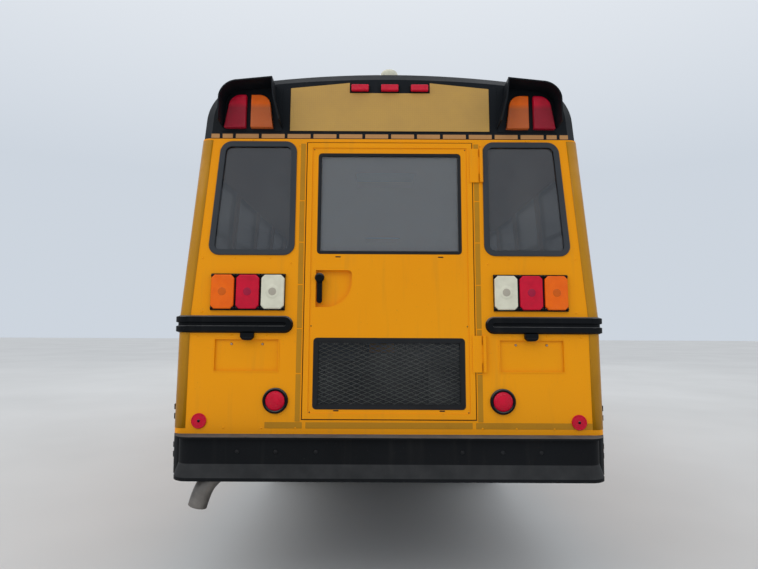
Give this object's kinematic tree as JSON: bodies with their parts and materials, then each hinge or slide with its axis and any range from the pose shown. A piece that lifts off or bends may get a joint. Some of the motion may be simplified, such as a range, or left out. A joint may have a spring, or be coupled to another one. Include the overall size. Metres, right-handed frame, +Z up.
{
  "type": "school bus",
  "caption": "Full-size conventional school bus with a hollow cabin, benches, rear emergency door, entrance leaves, stop arm, tilting hood and steered front wheels.",
  "frame": {"origin": "on the ground, centred under the whole bus", "axes": "+Y forward along the bus, +X to the kerb side, +Z up"},
  "size_m": [2.93, 11.2, 3.218],
  "materials": {
    "bus_yellow": "gloss school-bus yellow enamel, slightly weathered",
    "cap_slate": "faded black paint",
    "trim_black": "satin black",
    "chassis_black": "dusty chassis black",
    "floor_grey": "ribbed rubber floor covering on steel",
    "tinted_glass": "tinted safety glass",
    "red_lens": "moulded red lens",
    "amber_lens": "moulded amber lens",
    "clear_lens": "moulded clear lens",
    "bench_vinyl": "blue-grey coated upholstery",
    "seat_cloth": "dark woven seat cloth",
    "cab_plastic": "grained dashboard plastic",
    "cast_metal": "painted cast iron",
    "exhaust_steel": "dull aluminised steel",
    "flap_rubber": "black rubber sheet",
    "sign_red": "red sign face, blank",
    "hatch_white": "weathered white moulding",
    "tyre_rubber": "worn tyre rubber",
    "rim_paint": "black wheel paint"
  },
  "bodies": {
    "bus_body": {"frame_rails": "chassis_black", "floor": "floor_grey", "step_well": "chassis_black", "left_side_wall": "bus_yellow", "right_side_wall": "bus_yellow", "roof_panel": "bus_yellow", "rear_wall": "bus_yellow", "rear_cap": "cap_slate", "front_frame": "bus_yellow", "front_cap": "cap_slate", "windshield": "tinted_glass", "body_glass": "tinted_glass", "window_sashes": "trim_black", "rub_rails": "trim_black", "rear_bumper": "trim_black", "front_bumper": "trim_black", "lamp_bases": "trim_black", "red_lenses": "red_lens", "amber_lenses": "amber_lens", "clear_lenses": "clear_lens", "bench_cushions": "bench_vinyl", "bench_backs": "bench_vinyl", "bench_frames": "chassis_black", "driver_seat": "seat_cloth", "dashboard": "cab_plastic", "engine": "cast_metal", "fuel_tank": "chassis_black", "battery_box": "bus_yellow", "exhaust": "exhaust_steel", "front_axle": "chassis_black", "rear_axle": "chassis_black", "leaf_springs": "chassis_black", "mud_flaps": "flap_rubber", "mirrors": "trim_black"},
    "hood": {"hood": "bus_yellow", "grille": "trim_black", "headlamps": "clear_lens"},
    "emergency_door": {"emergency_door": "bus_yellow", "emergency_door_glass": "tinted_glass", "door_handle": "trim_black"},
    "entrance_front_leaf": {"entrance_front_leaf": "bus_yellow", "entrance_front_glass": "tinted_glass"},
    "entrance_rear_leaf": {"entrance_rear_leaf": "bus_yellow", "entrance_rear_glass": "tinted_glass"},
    "stop_arm": {"stop_arm": "sign_red"},
    "front_hatch": {"front_hatch": "hatch_white"},
    "rear_hatch": {"rear_hatch": "hatch_white"},
    "left_knuckle": {"left_knuckle": "chassis_black"},
    "right_knuckle": {"right_knuckle": "chassis_black"},
    "front_left_wheel": {"front_left_tyre": "tyre_rubber", "front_left_rim": "rim_paint"},
    "front_right_wheel": {"front_right_tyre": "tyre_rubber", "front_right_rim": "rim_paint"},
    "rear_left_wheels": {"rear_left_tyres": "tyre_rubber", "rear_left_rims": "rim_paint"},
    "rear_right_wheels": {"rear_right_tyres": "tyre_rubber", "rear_right_rims": "rim_paint"}
  },
  "joints": [
    {"name": "left_steer", "type": "hinge", "parent": "bus_body", "child": "left_knuckle", "pos_m": [-0.9, 4.6, 0.52], "axis": [0, 0, 1], "range_deg": [-38, 38]},
    {"name": "right_steer", "type": "hinge", "parent": "bus_body", "child": "right_knuckle", "pos_m": [0.9, 4.6, 0.52], "axis": [0, 0, 1], "range_deg": [-38, 38]},
    {"name": "front_left_wheel_roll", "type": "hinge", "parent": "left_knuckle", "child": "front_left_wheel", "pos_m": [-1.01, 4.6, 0.52], "axis": [1, 0, 0], "continuous": true},
    {"name": "front_right_wheel_roll", "type": "hinge", "parent": "right_knuckle", "child": "front_right_wheel", "pos_m": [1.01, 4.6, 0.52], "axis": [1, 0, 0], "continuous": true},
    {"name": "rear_left_wheels_roll", "type": "hinge", "parent": "bus_body", "child": "rear_left_wheels", "pos_m": [-0.8895, -2.46, 0.52], "axis": [1, 0, 0], "continuous": true},
    {"name": "rear_right_wheels_roll", "type": "hinge", "parent": "bus_body", "child": "rear_right_wheels", "pos_m": [0.8895, -2.46, 0.52], "axis": [1, 0, 0], "continuous": true},
    {"name": "hood_tilt", "type": "hinge", "parent": "bus_body", "child": "hood", "pos_m": [0, 5.395, 0.8], "axis": [-1, 0, 0], "range_deg": [0, 60]},
    {"name": "emergency_door_swing", "type": "hinge", "parent": "bus_body", "child": "emergency_door", "pos_m": [0.545, -5.48151, 1.40486], "axis": [0, 0.061, 0.9981], "range_deg": [0, 110]},
    {"name": "entrance_front_swing", "type": "hinge", "parent": "bus_body", "child": "entrance_front_leaf", "pos_m": [1.233, 3.35, 1.11], "axis": [0, 0, 1], "range_deg": [0, 90]},
    {"name": "entrance_rear_swing", "type": "hinge", "parent": "bus_body", "child": "entrance_rear_leaf", "pos_m": [1.233, 2.53, 1.11], "axis": [0, 0, -1], "range_deg": [0, 90]},
    {"name": "stop_arm_swing", "type": "hinge", "parent": "bus_body", "child": "stop_arm", "pos_m": [-1.264, 2.64, 1.3], "axis": [0, 0, -1], "range_deg": [0, 90]},
    {"name": "front_hatch_lift", "type": "hinge", "parent": "bus_body", "child": "front_hatch", "pos_m": [0, 1.545, 3.1843], "axis": [-1, 0, 0], "range_deg": [0, 80]},
    {"name": "rear_hatch_lift", "type": "hinge", "parent": "bus_body", "child": "rear_hatch", "pos_m": [0, -2.555, 3.1843], "axis": [-1, 0, 0], "range_deg": [0, 80]}
  ],
  "couplings": [
    {"joint": "right_steer", "follows": "left_steer", "ratio": 1},
    {"joint": "entrance_rear_swing", "follows": "entrance_front_swing", "ratio": 1}
  ]
}
